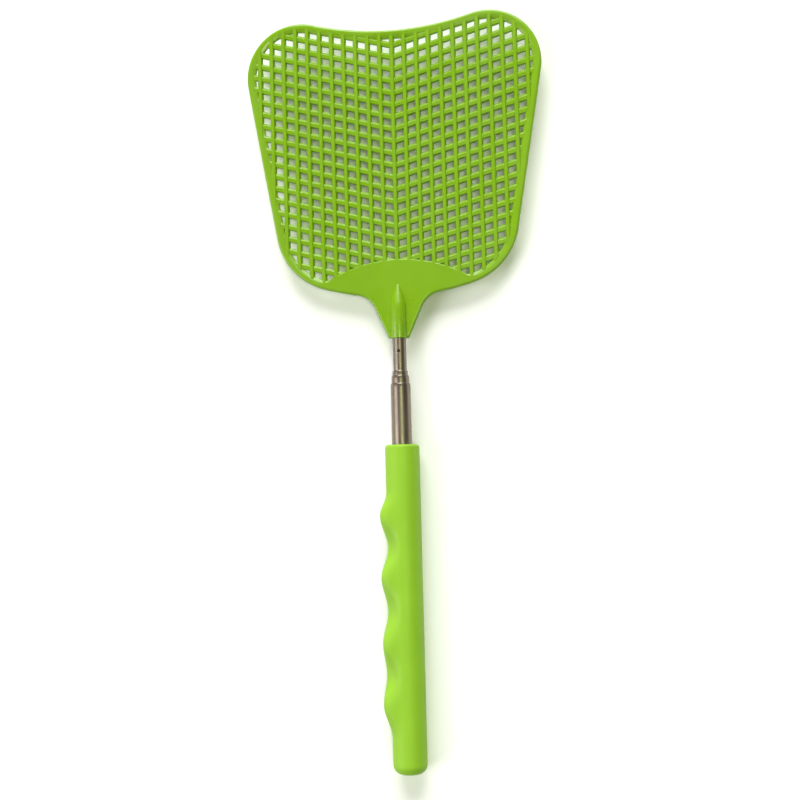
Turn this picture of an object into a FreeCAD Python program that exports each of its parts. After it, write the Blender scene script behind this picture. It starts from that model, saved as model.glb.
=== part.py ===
"""Telescopic fly swatter: a finger-grooved grip, four nested steel tubes and a moulded mesh head.

The pieces that share the tube axis are modelled upright: local Z runs up that axis from the grip's
closed end, and local -Y is the front.  Each is then laid down, so that the finished object lies on a
surface: +Y runs from the grip towards the head, the front faces +Z, and the finger humps point to -X.
"""

import FreeCAD, Part
import math
import os

import Sketcher
from FreeCAD import Placement, Rotation, Vector

DIMENSIONS = (
    # the grip
    ("grip_length", 119.5, "closed end to mouth"),
    ("grip_radius", 6.35, "round body of the grip at its mouth"),
    ("grip_collar_length", 16.5, "stretch of full radius below the mouth"),
    ("grip_tail_radius", 6.2, "plain round tail that a holder takes"),
    ("grip_tail_length", 11.0, "closed end to the end of the plain tail"),
    ("grip_floor", 4.0, "thickness of the closed end"),
    ("grip_end_fillet", 3.5, "rounding of the closed end"),
    ("grip_mouth_fillet", 1.0, "rounding round the mouth"),
    ("hump_height", 2.55, "crest of a finger hump above the grip's full radius"),
    ("hump_inset", 0.35, "a hump's front and back inside the grip's full radius"),
    ("hump_half_length", 18.2, "half of the full length of a hump's ellipsoid"),
    ("hump_pitch", 23.0, "crest to crest"),
    ("hump_first", 24.9, "closed end to the first crest"),
    ("hump_count", 4, "finger humps"),
    # the telescopic tubes
    ("tube_wall", 0.25, "wall of every tube"),
    ("outer_tube_diameter", 7.4, "outside diameter of the largest tube"),
    ("tube_gap", 0.15, "radial gap between a tube and the bore of the next larger one"),
    ("outer_stand_out", 22.7, "outer tube beyond the grip's mouth"),
    ("second_stand_out", 3.0, "second tube beyond the outer tube, closed"),
    ("third_stand_out", 1.7, "third tube beyond the second tube, closed"),
    ("inner_stand_out", 12.1, "bare inner tube between the third tube and the head, closed"),
    ("mouth_length", 1.6, "length over which a tube's end is rolled in"),
    ("mouth_land", 0.6, "straight part of the rolled-in mouth"),
    ("mouth_lip", 0.12, "metal left at the very end of the mouth"),
    ("running_clearance", 0.05, "radial gap at a mouth and at a foot's lip"),
    ("foot_lip", 1.0, "length of the flared lip at a tube's foot"),
    ("leaf_seat", 5.0, "length of the groove that holds the friction leaves"),
    ("foot_shoulder", 1.0, "length of the taper from the groove to the tube"),
    ("foot_gap", 0.2, "a closed tube's foot above what it would land on"),
    ("leaf_thickness", 0.15, "thickness of a friction leaf"),
    ("leaf_clearance", 0.04, "radial gap on each face of a leaf"),
    ("leaf_end_play", 0.1, "gap at each end of a leaf"),
    ("leaf_arc", 160.0, "how far round the tube one leaf reaches, in degrees"),
    ("pierced_hole_radius", 0.55, "hole punched through the front of the inner tube"),
    ("pierced_hole_below", 4.9, "hole's centre below the head's socket"),
    # the head
    ("head_height", 122.1, "end of the socket to the top of the lobes"),
    ("head_thickness", 2.0, "rim, ribs and fan plate"),
    ("lobe_offset", 35.7, "centre line to a lobe's centre"),
    ("lobe_radius", 20.3, "round top corners"),
    ("dip_radius", 109.5, "hollow between the lobes"),
    ("side_taper", 9.8, "lean of the straight sides, in degrees"),
    ("corner_radius", 24.7, "round lower corners"),
    ("base_height", 15.6, "end of the socket to the lowest point of the base curve"),
    ("base_radius", 98.0, "curve of the base"),
    ("neck_root_width", 23.4, "neck where it meets the base curve"),
    ("neck_end_width", 7.4, "neck at the socket's end"),
    ("rim_width", 3.3, "solid border round the mesh"),
    ("fan_top", 29.7, "end of the socket to the top of the solid fan plate"),
    ("fan_radius", 52.5, "curve of the fan plate's top"),
    ("rib_pitch", 4.63, "upright rib to upright rib"),
    ("row_pitch", 4.6, "cross rib to cross rib, up the centre line"),
    ("rib_width", 2.0, "width of every rib"),
    ("chevron_angle", 15.1, "rise of the cross ribs away from the centre line, in degrees"),
    ("top_rib_below", 11.15, "top chevron's point below the top of the lobes"),
    ("smallest_hole", 0.6, "area under which a cut-off hole is left filled"),
    ("socket_wall", 0.6, "wall of the half-round barrel over the inner tube's end"),
    ("socket_barrel", 12.6, "straight length of the barrel"),
    ("socket_tip", 7.6, "length of the pointed end of the barrel"),
    ("socket_tip_radius", 0.3, "blunt point of the barrel"),
    ("socket_depth", 12.0, "depth of the bore that holds the inner tube"),
)

# heights up the tube axis, and the overall length, as expressions on the sheet
OUTER_TOP = "(dims.grip_length + dims.outer_stand_out)"
SECOND_TOP = f"({OUTER_TOP} + dims.second_stand_out)"
THIRD_TOP = f"({SECOND_TOP} + dims.third_stand_out)"
HEAD_START = f"({THIRD_TOP} + dims.inner_stand_out)"
OVERALL = f"({HEAD_START} + dims.head_height)"
FOOT_LENGTH = "(dims.foot_lip + dims.leaf_seat + dims.foot_shoulder)"
SECOND_FOOT = "(dims.grip_floor + dims.foot_gap)"
THIRD_FOOT = f"({SECOND_FOOT} + {FOOT_LENGTH} + dims.foot_gap)"
INNER_FOOT = f"({THIRD_FOOT} + {FOOT_LENGTH} + dims.foot_gap)"

# outside radii of the nested tubes, largest first
RADII = {"outer": "(dims.outer_tube_diameter / 2)"}
for _larger, _smaller in (("outer", "second"), ("second", "third"), ("third", "inner")):
    RADII[_smaller] = f"({RADII[_larger]} - dims.tube_wall - dims.tube_gap)"

LAID_DOWN = Rotation(Vector(1, 0, 0), -90)
LAID_DOWN_TURNED = LAID_DOWN * Rotation(Vector(0, 0, 1), 180)
FLAT = Rotation()
TOUCHING = 1e-4


def make_sheet(doc):
    """Write the driving dimensions into the document's spreadsheet."""
    sheet = doc.addObject("Spreadsheet::Sheet", "dims")
    for row, (alias, value, note) in enumerate(DIMENSIONS, start=1):
        sheet.set(f"A{row}", alias)
        sheet.set(f"B{row}", str(value))
        sheet.set(f"C{row}", note)
        sheet.setAlias(f"B{row}", alias)
    doc.recompute()
    return sheet


def lay_down(piece, rotation=LAID_DOWN, along="0"):
    """Place a finished piece in the object's own frame, `along` being its start up the tube axis."""
    piece.Placement = Placement(Vector(), rotation)
    piece.setExpression("Placement.Base.y", f"{along} - {OVERALL} / 2")
    piece.setExpression("Placement.Base.z", "dims.grip_radius")


def bind(feature, **expressions):
    """Bind properties of a feature to expressions on the sheet."""
    for name, expression in expressions.items():
        feature.setExpression(name.replace("_", "."), expression)


def role_plane(body, role):
    """Return one of a body's own origin planes."""
    return next(plane for plane in body.Origin.OriginFeatures if plane.Role == role)


def revolved_body(doc, label, corners, turn="360"):
    """Make a body of revolution from the (radius, height) corners of its closed section."""
    body = doc.addObject("PartDesign::Body", label)
    body.Label = label
    sketch = body.newObject("Sketcher::SketchObject", f"{label}_section")
    sketch.AttachmentSupport = [(role_plane(body, "XZ_Plane"), "")]
    sketch.MapMode = "FlatFace"
    points = [Vector(float(sketch.evalExpression(radius)), float(sketch.evalExpression(height)), 0)
              for radius, height in corners]
    for index, start in enumerate(points):
        sketch.addGeometry(Part.LineSegment(start, points[(index + 1) % len(points)]), False)
    for index in range(len(points)):
        after = (index + 1) % len(points)
        sketch.addConstraint(Sketcher.Constraint("Coincident", index, 2, after, 1))
    for index, (radius, height) in enumerate(corners):
        across = sketch.addConstraint(
            Sketcher.Constraint("DistanceX", -1, 1, index, 1, points[index].x))
        sketch.setExpression(f"Constraints[{across}]", radius)
        upward = sketch.addConstraint(
            Sketcher.Constraint("DistanceY", -1, 1, index, 1, points[index].y))
        sketch.setExpression(f"Constraints[{upward}]", height)
    turned = body.newObject("PartDesign::Revolution", f"{label}_turned")
    turned.Profile = sketch
    turned.ReferenceAxis = (sketch, ["V_Axis"])
    turned.setExpression("Angle", turn)
    sketch.Visibility = False
    return body


# ---------------------------------------------------------------------------------------------
# the grip

def make_grip(doc):
    """The one-piece grip: a round closed-ended body with finger humps down its left side."""
    core = revolved_body(doc, "grip_core", [
        ("0", "0"),
        ("dims.grip_tail_radius", "0"),
        ("dims.grip_tail_radius", "dims.grip_tail_length"),
        ("dims.grip_radius", "dims.grip_length - dims.grip_collar_length"),
        ("dims.grip_radius", "dims.grip_length"),
        ("0", "dims.grip_length"),
    ])
    doc.recompute()
    round_end(core, 0, "dims.grip_end_fillet")
    doc.recompute()
    round_end(core, doc.dims.grip_length, "dims.grip_mouth_fillet")
    humps = [make_hump(doc, number) for number in range(int(doc.dims.hump_count))]
    whole = doc.addObject("Part::MultiFuse", "grip_whole")
    whole.Shapes = [core] + humps
    bore = doc.addObject("Part::Cylinder", "grip_bore")
    bind(bore, Radius=RADII["outer"], Height="dims.grip_length - dims.grip_floor",
         Placement_Base_z="dims.grip_floor")
    grip = doc.addObject("Part::Cut", "grip")
    grip.Base = whole
    grip.Tool = bore
    grip.Label = "grip"
    lay_down(grip)
    return grip


def round_end(body, height, radius):
    """Fillet the round edge of a solid body's flat end at a height."""
    solid = body.Tip
    number = next(number for number, edge in enumerate(solid.Shape.Edges, start=1)
                  if len(edge.Vertexes) == 1 and abs(edge.CenterOfMass.z - height) < TOUCHING)
    fillet = body.newObject("PartDesign::Fillet", f"{body.Name}_rounded_{number}")
    fillet.Base = (solid, [f"Edge{number}"])
    fillet.setExpression("Radius", radius)
    body.Tip = fillet


def make_hump(doc, number):
    """One finger hump: the left half of an ellipsoid centred on the tube axis."""
    hump = doc.addObject("Part::Ellipsoid", f"hump_{number + 1}")
    bind(hump, Radius1="dims.hump_half_length", Radius2="dims.grip_radius - dims.hump_inset",
         Radius3="dims.grip_radius + dims.hump_height",
         Placement_Base_z=f"dims.hump_first + {number} * dims.hump_pitch")
    hump.Angle3 = 180
    hump.Placement.Rotation = Rotation(Vector(0, 0, 1), 90)
    return hump


# ---------------------------------------------------------------------------------------------
# the tubes and their friction leaves

def bore_of(tube):
    """Return the inside radius of a named tube."""
    return f"({RADII[tube]} - dims.tube_wall)"


def leaf_outside(host):
    """Return the outside radius of the leaves that rub in a host tube."""
    return f"({bore_of(host)} - dims.leaf_clearance)"


def groove_radius(host):
    """Return the radius of the groove that a foot carries under its leaves."""
    return f"({leaf_outside(host)} - dims.leaf_thickness - dims.leaf_clearance)"


def foot_corners(tube, host, foot):
    """Return a foot's outside corners going up, and its inside corners going down."""
    seat_start = f"({foot} + dims.foot_lip)"
    seat_end = f"({seat_start} + dims.leaf_seat)"
    lip = f"({bore_of(host)} - dims.running_clearance)"
    groove = groove_radius(host)
    outside = [(lip, foot), (lip, seat_start), (groove, seat_start), (groove, seat_end),
               (RADII[tube], f"({foot} + {FOOT_LENGTH})")]
    necked = f"({groove} - dims.tube_wall)"
    inside = [(bore_of(tube), f"({foot} + {FOOT_LENGTH})"), (necked, seat_end), (necked, foot)]
    return outside, inside


def mouth_corners(tube, guest, top):
    """Return the corners of a rolled-in mouth that guides the next smaller tube, outside first."""
    hole = f"({RADII[guest]} + dims.running_clearance)"
    roll_start = f"({top} - dims.mouth_length)"
    return [(RADII[tube], roll_start), (f"({hole} + dims.mouth_lip)", top), (hole, top),
            (hole, f"({top} - dims.mouth_land)"), (bore_of(tube), roll_start)]


def make_outer_tube(doc):
    """The outer tube, seated on the floor of the grip's bore."""
    corners = [(RADII["outer"], "dims.grip_floor")]
    corners += mouth_corners("outer", "second", OUTER_TOP)
    corners += [(bore_of("outer"), "dims.grip_floor")]
    tube = revolved_body(doc, "outer_tube", corners)
    lay_down(tube)
    return tube


def make_middle_tube(doc, tube, host, guest, foot, top):
    """A middle tube: a grooved foot below and a rolled-in mouth above."""
    outside, inside = foot_corners(tube, host, foot)
    body = revolved_body(doc, f"{tube}_tube", outside + mouth_corners(tube, guest, top) + inside)
    lay_down(body)
    return body


def make_inner_tube(doc):
    """The inner tube, which carries the head, with the hole punched below the socket."""
    outside, inside = foot_corners("inner", "third", INNER_FOOT)
    top = f"({HEAD_START} + dims.socket_depth)"
    ends = [(RADII["inner"], top), (bore_of("inner"), top)]
    body = revolved_body(doc, "inner_tube", outside + ends + inside)
    punch = body.newObject("PartDesign::SubtractiveCylinder", "pierced_hole")
    punch.Placement.Rotation = Rotation(Vector(1, 0, 0), 90)
    bind(punch, Radius="dims.pierced_hole_radius", Height=RADII["inner"],
         Placement_Base_z=f"{HEAD_START} - dims.pierced_hole_below")
    body.Tip = punch
    lay_down(body)
    return body


def make_leaf(doc, label, host, foot, rotation):
    """One friction leaf: a thin curved strip in a foot's groove."""
    start = f"({foot} + dims.foot_lip + dims.leaf_end_play)"
    end = f"({foot} + dims.foot_lip + dims.leaf_seat - dims.leaf_end_play)"
    outside = leaf_outside(host)
    inside = f"({outside} - dims.leaf_thickness)"
    corners = [(inside, start), (outside, start), (outside, end), (inside, end)]
    leaf = revolved_body(doc, label, corners, "dims.leaf_arc")
    lay_down(leaf, rotation)
    return leaf


# ---------------------------------------------------------------------------------------------
# the head, drawn flat: X across, Y from the socket's end to the lobes, Z through its thickness

def arc_about(centre, start, end):
    """Return the shorter arc about a centre from one point to another."""
    middle = (start + end) * 0.5 - centre
    middle.normalize()
    return Part.Arc(start, centre + middle * (start - centre).Length, end).toShape()


def half_outline(dims):
    """Return the edges of the outline's right half, from the top of the centre line to its foot."""
    lobe = Vector(dims.lobe_offset, dims.head_height - dims.lobe_radius, 0)
    reach = dims.dip_radius + dims.lobe_radius
    dip = Vector(0, lobe.y + math.sqrt(reach ** 2 - lobe.x ** 2), 0)
    dip_end = lobe + (dip - lobe) * (dims.lobe_radius / reach)
    lean = math.radians(dims.side_taper)
    outward = Vector(math.cos(lean), -math.sin(lean), 0)
    downward = Vector(-math.sin(lean), -math.cos(lean), 0)
    side_start = lobe + outward * dims.lobe_radius
    base = Vector(0, dims.base_height + dims.base_radius, 0)
    corner = corner_centre(dims, side_start - outward * dims.corner_radius, downward, base)
    side_end = corner + outward * dims.corner_radius
    base_start = base + (corner - base) * (dims.base_radius / (corner - base).Length)
    root_x = dims.neck_root_width / 2
    root = Vector(root_x, base.y - math.sqrt(dims.base_radius ** 2 - root_x ** 2), 0)
    end = Vector(dims.neck_end_width / 2, 0, 0)
    return [
        arc_about(dip, dip - Vector(0, dims.dip_radius, 0), dip_end),
        Part.Arc(dip_end, lobe + Vector(0.5, 0.5, 0) * (dims.lobe_radius * math.sqrt(2)),
                 side_start).toShape(),
        Part.LineSegment(side_start, side_end).toShape(),
        arc_about(corner, side_end, base_start),
        arc_about(base, base_start, root),
        Part.LineSegment(root, end).toShape(),
        Part.LineSegment(end, Vector()).toShape(),
    ]


def corner_centre(dims, start, downward, base):
    """Slide the lower corner's centre down beside the side until it also meets the base curve."""
    gap = start - base
    half_sum = gap.dot(downward)
    slack = gap.dot(gap) - (dims.base_radius - dims.corner_radius) ** 2
    return start + downward * (-half_sum + math.sqrt(half_sum ** 2 - slack))


def mesh_holes(dims, window):
    """Return the faces of the holes between the ribs, cut off where they meet the border."""
    rise = math.tan(math.radians(dims.chevron_angle))
    half_rib = dims.rib_width / 2
    half_cross = half_rib / math.cos(math.radians(dims.chevron_angle))
    columns = math.ceil((dims.lobe_offset + dims.lobe_radius) / dims.rib_pitch)
    top_rib = dims.head_height - dims.top_rib_below
    rows = math.ceil(top_rib / dims.row_pitch) + columns
    spare_rows = math.ceil(dims.top_rib_below / dims.row_pitch)
    cells = []
    for column in range(columns):
        left = column * dims.rib_pitch + half_rib
        right = (column + 1) * dims.rib_pitch - half_rib
        for row in range(-spare_rows, rows):
            above = top_rib - row * dims.row_pitch - half_cross
            below = top_rib - (row + 1) * dims.row_pitch + half_cross
            corners = [(left, below + left * rise), (right, below + right * rise),
                       (right, above + right * rise), (left, above + left * rise)]
            for side in (1, -1):
                wire = Part.makePolygon([Vector(side * x, y, 0) for x, y in corners], True)
                cells.append(Part.Face(wire))
    inside = [cell for cell in cells if cell.BoundBox.YMin < dims.head_height
              and cell.BoundBox.YMax > dims.base_height]
    kept = Part.makeCompound(inside).common(window)
    return [face for face in kept.Faces if face.Area > dims.smallest_hole]


def make_blade(doc):
    """The flat of the head: its whole outline as a plate, and the holes that turn it into a mesh."""
    dims = doc.dims
    half = half_outline(dims)
    mirrored = [edge.mirror(Vector(), Vector(1, 0, 0)) for edge in half]
    outline = Part.Face(Part.Wire(Part.__sortEdges__(half + mirrored)))
    fan_centre = Vector(0, dims.fan_top - dims.fan_radius, 0)
    fan = Part.Face(Part.Wire(Part.makeCircle(dims.fan_radius, fan_centre)))
    window = outline.makeOffset2D(-dims.rim_width).cut(fan)
    depth = Vector(0, 0, dims.head_thickness)
    plate = doc.addObject("Part::Feature", "blade_plate")
    plate.Shape = outline.extrude(depth)
    holes = doc.addObject("Part::Feature", "mesh_holes")
    holes.Shape = Part.makeCompound([face.extrude(depth) for face in mesh_holes(dims, window)])
    for piece in (plate, holes):
        piece.Placement = Placement(Vector(0, 0, -dims.head_thickness / 2), FLAT)
    return plate, holes


def make_head(doc):
    """The one-piece head: the mesh blade, and the pointed barrel that holds the inner tube."""
    plate, holes = make_blade(doc)
    along = Rotation(Vector(1, 0, 0), -90)
    barrel = doc.addObject("Part::Cylinder", "socket_barrel")
    outside = f"{RADII['inner']} + dims.socket_wall"
    bind(barrel, Radius=outside, Height="dims.socket_barrel")
    tip = doc.addObject("Part::Cone", "socket_tip")
    bind(tip, Radius1=outside, Radius2="dims.socket_tip_radius",
         Height="dims.socket_tip", Placement_Base_y="dims.socket_barrel")
    bore = doc.addObject("Part::Cylinder", "socket_bore")
    bind(bore, Radius=RADII["inner"], Height="dims.socket_depth")
    for piece in (barrel, tip, bore):
        piece.Placement.Rotation = along
    whole = doc.addObject("Part::MultiFuse", "head_whole")
    whole.Shapes = [plate, barrel, tip]
    bored = doc.addObject("Part::Cut", "head_bored")
    bored.Base = whole
    bored.Tool = bore
    head = doc.addObject("Part::Cut", "swatter_head")
    head.Base = bored
    head.Tool = holes
    head.Label = "swatter_head"
    lay_down(head, FLAT, HEAD_START)
    return head


# ---------------------------------------------------------------------------------------------

def check(doc, pieces):
    """Stop if any object failed, or if a piece is missing, broken or not one solid."""
    for item in doc.Objects:
        if "Invalid" in item.State or "Error" in item.State:
            raise RuntimeError(f"{item.Name} did not recompute: {item.State}")
    for piece in pieces:
        shape = piece.Shape
        if shape.isNull() or not shape.isValid() or len(shape.Solids) != 1:
            raise RuntimeError(f"{piece.Label} is not one valid solid")


def main():
    """Build the swatter, check it and write one file for each piece."""
    doc = FreeCAD.newDocument("fly_swatter")
    make_sheet(doc)
    pieces = [
        make_grip(doc),
        make_outer_tube(doc),
        make_middle_tube(doc, "second", "outer", "third", SECOND_FOOT, SECOND_TOP),
        make_middle_tube(doc, "third", "second", "inner", THIRD_FOOT, THIRD_TOP),
        make_inner_tube(doc),
        make_head(doc),
    ]
    for guest, host, foot in (("second", "outer", SECOND_FOOT), ("third", "second", THIRD_FOOT),
                              ("inner", "third", INNER_FOOT)):
        pieces.append(make_leaf(doc, f"{guest}_leaf_back", host, foot, LAID_DOWN))
        pieces.append(make_leaf(doc, f"{guest}_leaf_front", host, foot, LAID_DOWN_TURNED))
    doc.recompute()
    check(doc, pieces)
    os.makedirs("parts", exist_ok=True)
    for piece in pieces:
        piece.Shape.exportStep(f"parts/{piece.Label}.step")
        print(f"{piece.Label}: {piece.Shape.Volume:.1f} mm3")


main()
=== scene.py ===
"""Telescopic fly swatter: finished meshes, finishes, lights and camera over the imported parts.

The row frame is in metres: +Y runs from the grip towards the head, the front faces +Z, and the
finger humps point to -X.  Sizes in the classes are in millimetres and places come from the frame.
"""

from __future__ import annotations

import logging
import math
from dataclasses import dataclass
from enum import Enum
from typing import Iterable, Sequence

import bmesh
import bpy
from mathutils import Matrix, Vector
from mathutils.geometry import tessellate_polygon


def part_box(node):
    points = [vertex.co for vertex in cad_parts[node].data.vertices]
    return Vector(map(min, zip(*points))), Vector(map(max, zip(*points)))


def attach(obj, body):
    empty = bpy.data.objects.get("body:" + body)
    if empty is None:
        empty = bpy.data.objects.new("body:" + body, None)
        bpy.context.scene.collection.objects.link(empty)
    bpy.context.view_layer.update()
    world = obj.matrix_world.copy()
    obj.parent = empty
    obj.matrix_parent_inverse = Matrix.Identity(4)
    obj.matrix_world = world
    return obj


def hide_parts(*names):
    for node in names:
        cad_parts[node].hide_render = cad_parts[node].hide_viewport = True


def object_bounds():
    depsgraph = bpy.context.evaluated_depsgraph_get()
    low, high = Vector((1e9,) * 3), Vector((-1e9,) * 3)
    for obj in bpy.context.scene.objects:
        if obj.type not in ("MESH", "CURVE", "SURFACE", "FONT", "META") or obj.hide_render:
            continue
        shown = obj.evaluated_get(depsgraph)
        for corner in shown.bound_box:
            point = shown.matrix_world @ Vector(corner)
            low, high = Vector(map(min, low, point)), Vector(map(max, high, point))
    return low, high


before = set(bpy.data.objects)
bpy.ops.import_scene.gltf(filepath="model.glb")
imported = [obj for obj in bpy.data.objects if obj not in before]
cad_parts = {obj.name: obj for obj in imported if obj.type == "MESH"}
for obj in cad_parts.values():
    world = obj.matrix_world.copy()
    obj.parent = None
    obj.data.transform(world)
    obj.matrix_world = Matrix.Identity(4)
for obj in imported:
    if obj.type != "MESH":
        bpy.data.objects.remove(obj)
CAD_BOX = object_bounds()

log = logging.getLogger("fly_swatter")

MM = 0.001
Point = tuple[float, float]
Spot = tuple[float, float, float]
Colour = tuple[float, float, float]
Piece = bpy.types.Object
Material = bpy.types.Material
Tree = bpy.types.NodeTree
Node = bpy.types.Node
Socket = bpy.types.NodeSocket


class Body(Enum):
    """The moving bodies that the finished pieces ride on."""

    HANDLE = "handle"
    SECOND = "second_tube"
    THIRD = "third_tube"
    HEAD = "head"


class Slot(Enum):
    """The record's material slots for the finished pieces."""

    GRIP = "grip_plastic"
    HEAD = "head_plastic"
    TUBE = "tube_steel"


class Join(Enum):
    """How one solid is combined with another."""

    ADD = "UNION"
    CUT = "DIFFERENCE"
    KEEP = "INTERSECT"


# --- meshes ---


def axis_height() -> float:
    """Return the height of the tube axis above the table, in millimetres."""
    low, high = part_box("outer_tube")
    return (low.z + high.z) / 2 / MM


def span_of(node: str) -> Point:
    """Return a CAD node's lowest and highest place along the tube axis, in millimetres."""
    low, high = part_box(node)
    return low.y / MM, high.y / MM


def placed(name: str, data: bpy.types.ID) -> Piece:
    """Make an object of a mesh, light or camera, and link it into the scene.

    Args:
        name: The object's name.
        data: What it holds.

    Returns:
        The object, at the origin.
    """
    item = bpy.data.objects.new(name, data)
    bpy.context.scene.collection.objects.link(item)
    return item


def mesh_piece(name: str, spots: Iterable[Spot], faces: Iterable[Sequence[int]]) -> Piece:
    """Make an object from millimetre points, with its place in its mesh.

    Args:
        name: The piece's name.
        spots: Its points in the row frame.
        faces: Point indices of each face.

    Returns:
        The new object, at the origin.
    """
    mesh = bpy.data.meshes.new(name)
    mesh.from_pydata([(x * MM, y * MM, z * MM) for x, y, z in spots], [], list(faces))
    return placed(name, mesh)


def face_outwards(piece: Piece, merge: float = 0.0) -> None:
    """Point every face of a closed mesh outwards.

    Args:
        piece: The piece, changed in place.
        merge: Distance in millimetres under which points are joined first.
    """
    work = bmesh.new()
    work.from_mesh(piece.data)
    if merge > 0:
        bmesh.ops.remove_doubles(work, verts=work.verts, dist=merge * MM)
        bmesh.ops.dissolve_degenerate(work, edges=work.edges, dist=merge * MM)
    bmesh.ops.recalc_face_normals(work, faces=work.faces)
    work.to_mesh(piece.data)
    work.free()


def made_plain(piece: Piece) -> None:
    """Turn what a piece's modifiers make into its own plain mesh, and drop the modifiers.

    Args:
        piece: The piece, changed in place.
    """
    graph = bpy.context.evaluated_depsgraph_get()
    graph.update()
    result = bpy.data.meshes.new_from_object(piece.evaluated_get(graph), depsgraph=graph)
    piece.modifiers.clear()
    piece.data = result


def smooth_but_for_edges(piece: Piece, crease: float) -> None:
    """Shade a piece smooth, and keep edges above an angle in degrees crisp."""
    piece.data.shade_smooth()
    piece.data.set_sharp_from_angle(angle=math.radians(crease))


def shade_flats_evenly(piece: Piece, reach: float) -> None:
    """Keep the flat faces of a plate evenly shaded up to their rounded edges.

    Args:
        piece: The piece.
        reach: How far the plate stands from the tube axis's height, in millimetres.
    """
    middle = axis_height()
    plate = piece.vertex_groups.new(name="plate")
    plate.add([corner.index for corner in piece.data.vertices
               if abs(corner.co.z / MM - middle) < reach], 1.0, "REPLACE")
    even = piece.modifiers.new("even_shading", "WEIGHTED_NORMAL")
    even.keep_sharp = True
    even.weight = 100
    even.vertex_group = plate.name
    made_plain(piece)
    piece.vertex_groups.clear()


def combine(piece: Piece, tool: Piece, join: Join) -> None:
    """Combine a solid with another, which is used up.

    Args:
        piece: The solid that is changed.
        tool: The other solid, removed afterwards.
        join: Whether the tool is added, cut away or kept in common.
    """
    step = piece.modifiers.new(join.name.lower(), "BOOLEAN")
    step.operation = join.value
    step.solver = "MANIFOLD"
    step.object = tool
    made_plain(piece)
    bpy.data.objects.remove(tool)


def dress(piece: Piece, finish: Material, body: Body, node: str) -> None:
    """Give a piece its finish, its body and the CAD node that it stands for.

    Args:
        piece: The piece.
        finish: Its material.
        body: The body that it rides on.
        node: The CAD node that it replaces.
    """
    piece.data.materials.clear()
    piece.data.materials.append(finish)
    piece.data.polygons.foreach_set("material_index", [0] * len(piece.data.polygons))
    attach(piece, body.value)
    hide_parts(node)


def solid(name: str, spots: Iterable[Spot], faces: Iterable[Sequence[int]]) -> Piece:
    """Make a closed piece whose faces all point outwards.

    Args:
        name: The piece's name.
        spots: Its points in the row frame, in millimetres.
        faces: Point indices of each face.

    Returns:
        The piece.
    """
    piece = mesh_piece(name, spots, faces)
    face_outwards(piece)
    return piece


def ring_faces(rings: int, around: int, closed: bool = False) -> list[tuple[int, ...]]:
    """Return the quads that join rings of points one after the other.

    Args:
        rings: How many rings.
        around: Points in each ring.
        closed: Whether the last ring joins the first again.

    Returns:
        The faces, as point indices.
    """
    faces = []
    for ring in range(rings if closed else rings - 1):
        here, there = ring * around, (ring + 1) % rings * around
        for step in range(around):
            after = (step + 1) % around
            faces.append((here + step, here + after, there + after, there + step))
    return faces


def loft(name: str, rings: Sequence[Sequence[Spot]], closed: bool = False) -> Piece:
    """Skin rings of points, and cap the two ends unless the skin closes on itself.

    Args:
        name: The piece's name.
        rings: The rings, all with as many points.
        closed: Whether the last ring joins the first again.

    Returns:
        The piece.
    """
    around = len(rings[0])
    faces = ring_faces(len(rings), around, closed)
    if not closed:
        last = (len(rings) - 1) * around
        faces += [tuple(range(around)), tuple(range(last, last + around))]
    return solid(name, [spot for ring in rings for spot in ring], faces)


def circle(radius: float, steps: int) -> list[Point]:
    """Return points round a circle as (across, up), the first one at its top."""
    turns = [math.tau * step / steps for step in range(steps)]
    return [(radius * math.sin(turn), radius * math.cos(turn)) for turn in turns]


def turned(name: str, section: Sequence[Point], steps: int, closed: bool = False) -> Piece:
    """Turn a section about the tube axis.

    Args:
        name: The piece's name.
        section: Corners as (radius, place along Y), none of them on the axis.
        steps: Flats around the axis.
        closed: True for a closed section, which makes a ring; an open one makes a solid.

    Returns:
        The piece.
    """
    middle = axis_height()
    return loft(name, [[(across, along, middle + up) for across, up in circle(radius, steps)]
                       for radius, along in section], closed)


def rounding(radius: float, steps: int) -> list[Point]:
    """Return a rounded edge as (inset from the side, depth below the face), going up."""
    turns = [math.pi / 2 * step / steps for step in range(steps + 1)]
    return [(radius * (1 - math.cos(turn)), radius * (1 - math.sin(turn))) for turn in turns]


def wave(knots: Sequence[Point], along: float) -> float:
    """Return the value of a smooth wave through knots, held beyond the outer ones.

    Args:
        knots: Places with their values, going up.
        along: The place.

    Returns:
        The wave's value there.
    """
    along = min(max(along, knots[0][0]), knots[-1][0])
    (low, before), (high, after) = next(
        pair for pair in zip(knots, knots[1:]) if along <= pair[1][0])
    share = (along - low) / (high - low)
    return before + (after - before) * (0.5 - 0.5 * math.cos(math.pi * share))


# --- finishes ---


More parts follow.
